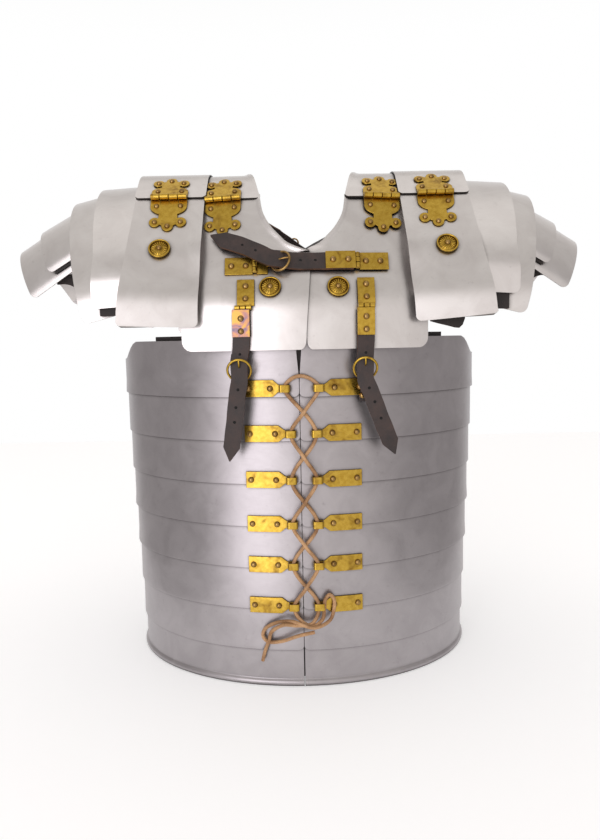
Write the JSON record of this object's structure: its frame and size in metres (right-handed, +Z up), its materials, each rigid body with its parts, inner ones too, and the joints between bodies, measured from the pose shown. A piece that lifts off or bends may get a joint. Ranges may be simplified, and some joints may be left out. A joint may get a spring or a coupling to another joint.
{
  "type": "lorica segmentata",
  "caption": "Laced segmented plate cuirass with girth hoops, hinged breastplates and shoulder guards, brass fittings and leather straps.",
  "frame": {"origin": "on the surface it stands on, under the middle of its bounding box", "axes": "+Z up, the front with the breastplates and the lace faces -Y, +X is to the right as seen from the front"},
  "size_m": [0.578, 0.3276, 0.4927],
  "materials": {
    "steel": "satin",
    "brass": "polished, slightly tarnished",
    "leather": "dark, dull",
    "lace": "tan, dull"
  },
  "bodies": {
    "root": {"girth_hoop_1_left": "steel", "girth_hoop_2_left": "steel", "girth_hoop_3_left": "steel", "girth_hoop_4_left": "steel", "girth_hoop_5_left": "steel", "girth_hoop_6_left": "steel", "girth_hoop_7_left": "steel", "girth_hoop_8_left": "steel", "tie_loop_1_left": "brass", "tie_loop_2_left": "brass", "tie_loop_3_left": "brass", "tie_loop_4_left": "brass", "tie_loop_5_left": "brass", "tie_loop_6_left": "brass", "breastplate_left": "steel", "collar_top_left": "steel", "guard_front_left": "steel", "guard_top_left": "steel", "guard_1_left": "steel", "guard_2_left": "steel", "guard_3_left": "steel", "guard_4_left": "steel", "guard_leather_left": "leather", "lobed_hinge_collar_left": "brass", "lobed_hinge_guard_left": "brass", "strap_left": "leather", "strap_hinge_left": "brass", "strap_buckle_left": "brass", "girth_hoop_1_right": "steel", "girth_hoop_2_right": "steel", "girth_hoop_3_right": "steel", "girth_hoop_4_right": "steel", "girth_hoop_5_right": "steel", "girth_hoop_6_right": "steel", "girth_hoop_7_right": "steel", "girth_hoop_8_right": "steel", "tie_loop_1_right": "brass", "tie_loop_2_right": "brass", "tie_loop_3_right": "brass", "tie_loop_4_right": "brass", "tie_loop_5_right": "brass", "tie_loop_6_right": "brass", "breastplate_right": "steel", "collar_top_right": "steel", "guard_front_right": "steel", "guard_top_right": "steel", "guard_1_right": "steel", "guard_2_right": "steel", "guard_3_right": "steel", "guard_4_right": "steel", "guard_leather_right": "leather", "lobed_hinge_collar_right": "brass", "lobed_hinge_guard_right": "brass", "strap_right": "leather", "strap_hinge_right": "brass", "strap_buckle_right": "brass", "chest_strap": "leather", "chest_hinge": "brass", "chest_buckle": "brass", "lace": "lace"}
  },
  "joints": []
}
